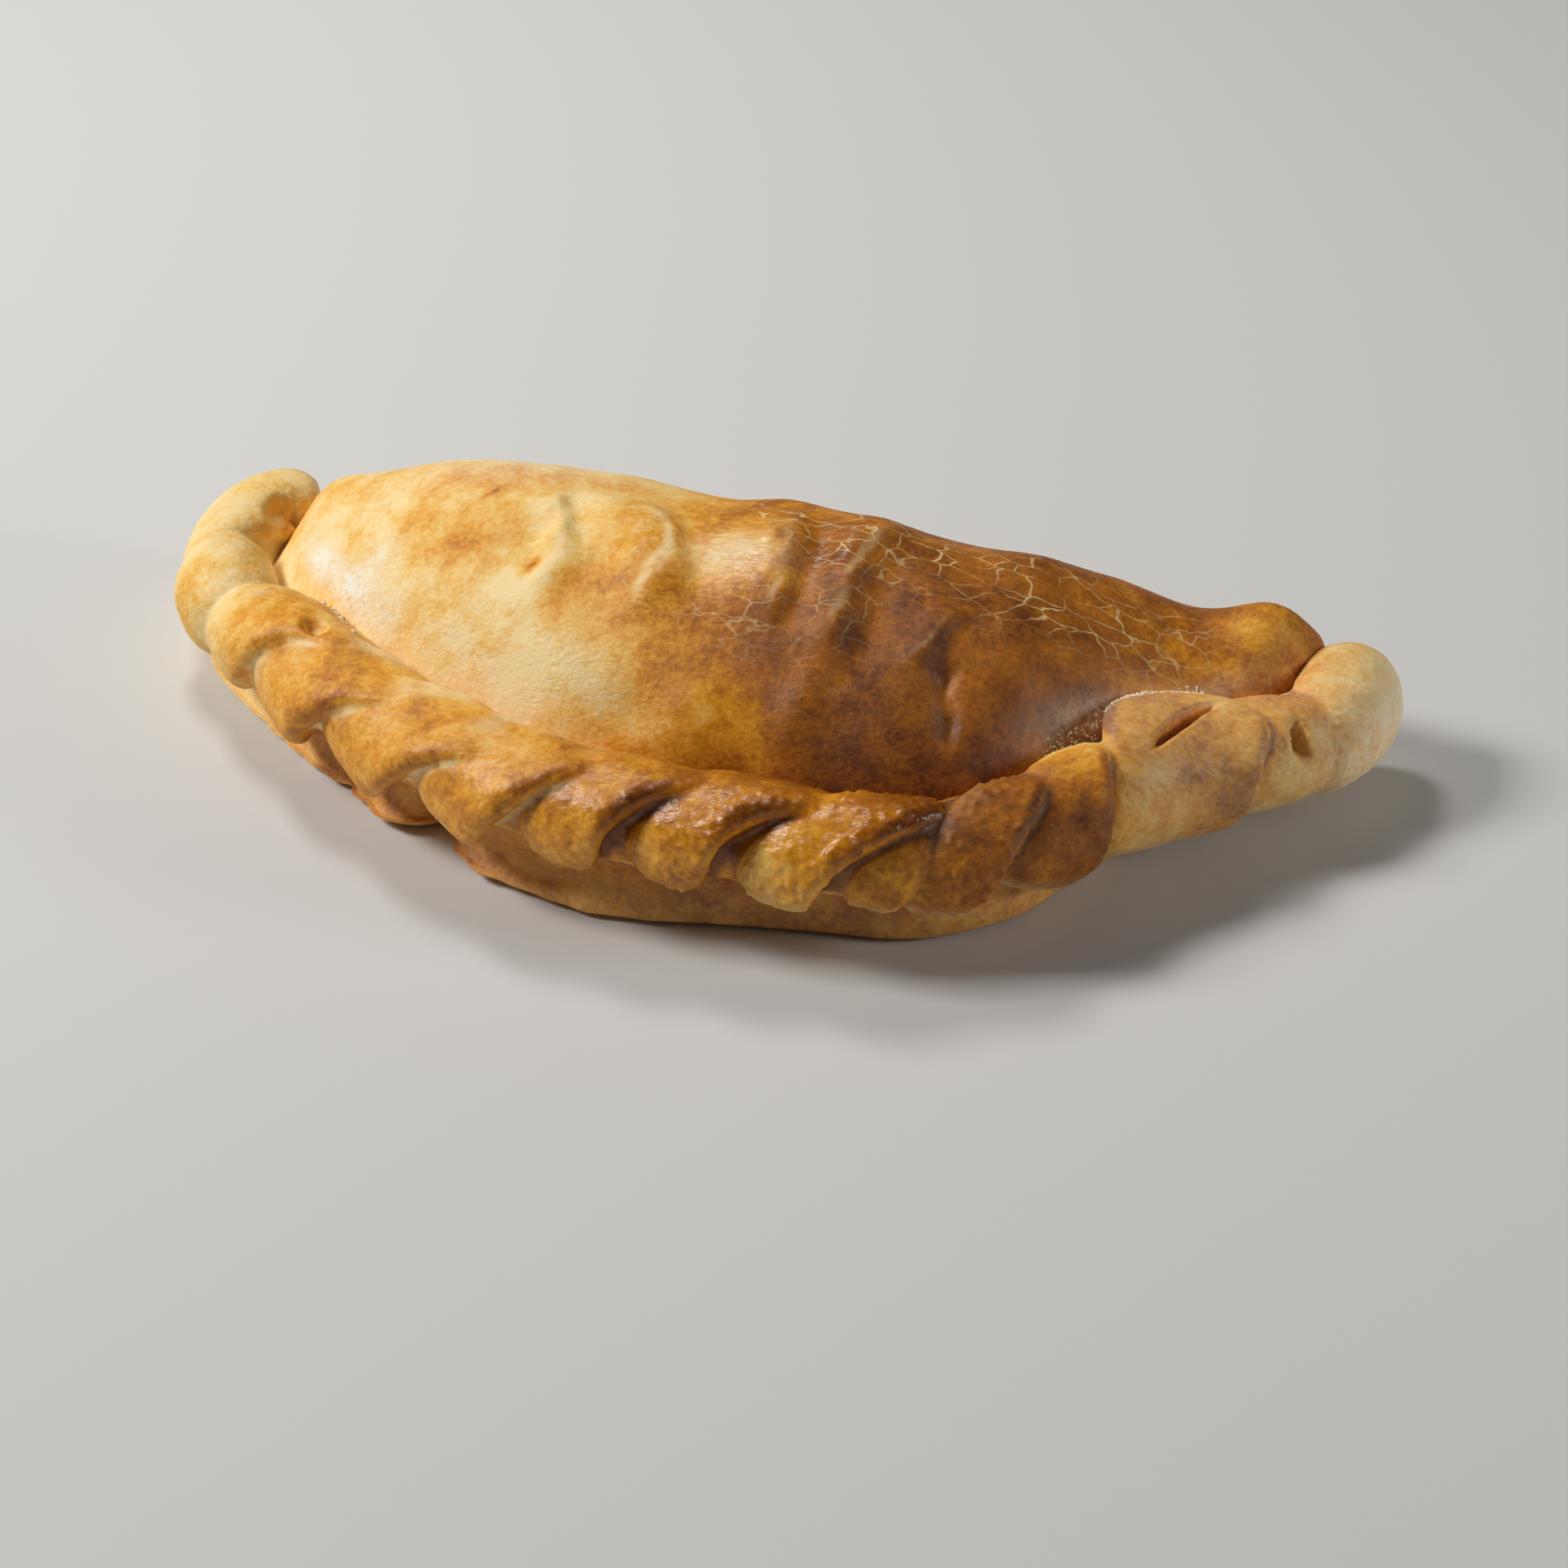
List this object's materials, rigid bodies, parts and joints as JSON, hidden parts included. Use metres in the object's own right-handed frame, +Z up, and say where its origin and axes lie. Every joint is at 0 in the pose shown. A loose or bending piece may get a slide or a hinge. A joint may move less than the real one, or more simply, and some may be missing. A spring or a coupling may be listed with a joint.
{
  "type": "empanada",
  "caption": "Half-moon baked turnover lying flat: a domed, egg-washed shortcrust pocket closed along its curved edge by a rope of diagonal thumb folds.",
  "frame": {"origin": "centre of the footprint's box, on the table", "axes": "+X from the left tip to the right tip, +Y towards the straight back fold, +Z up"},
  "size_m": [0.175, 0.0762, 0.0353],
  "materials": {
    "crust": "baked shortcrust pastry brushed with egg, golden brown"
  },
  "bodies": {
    "root": {"crust": "crust"}
  },
  "joints": []
}
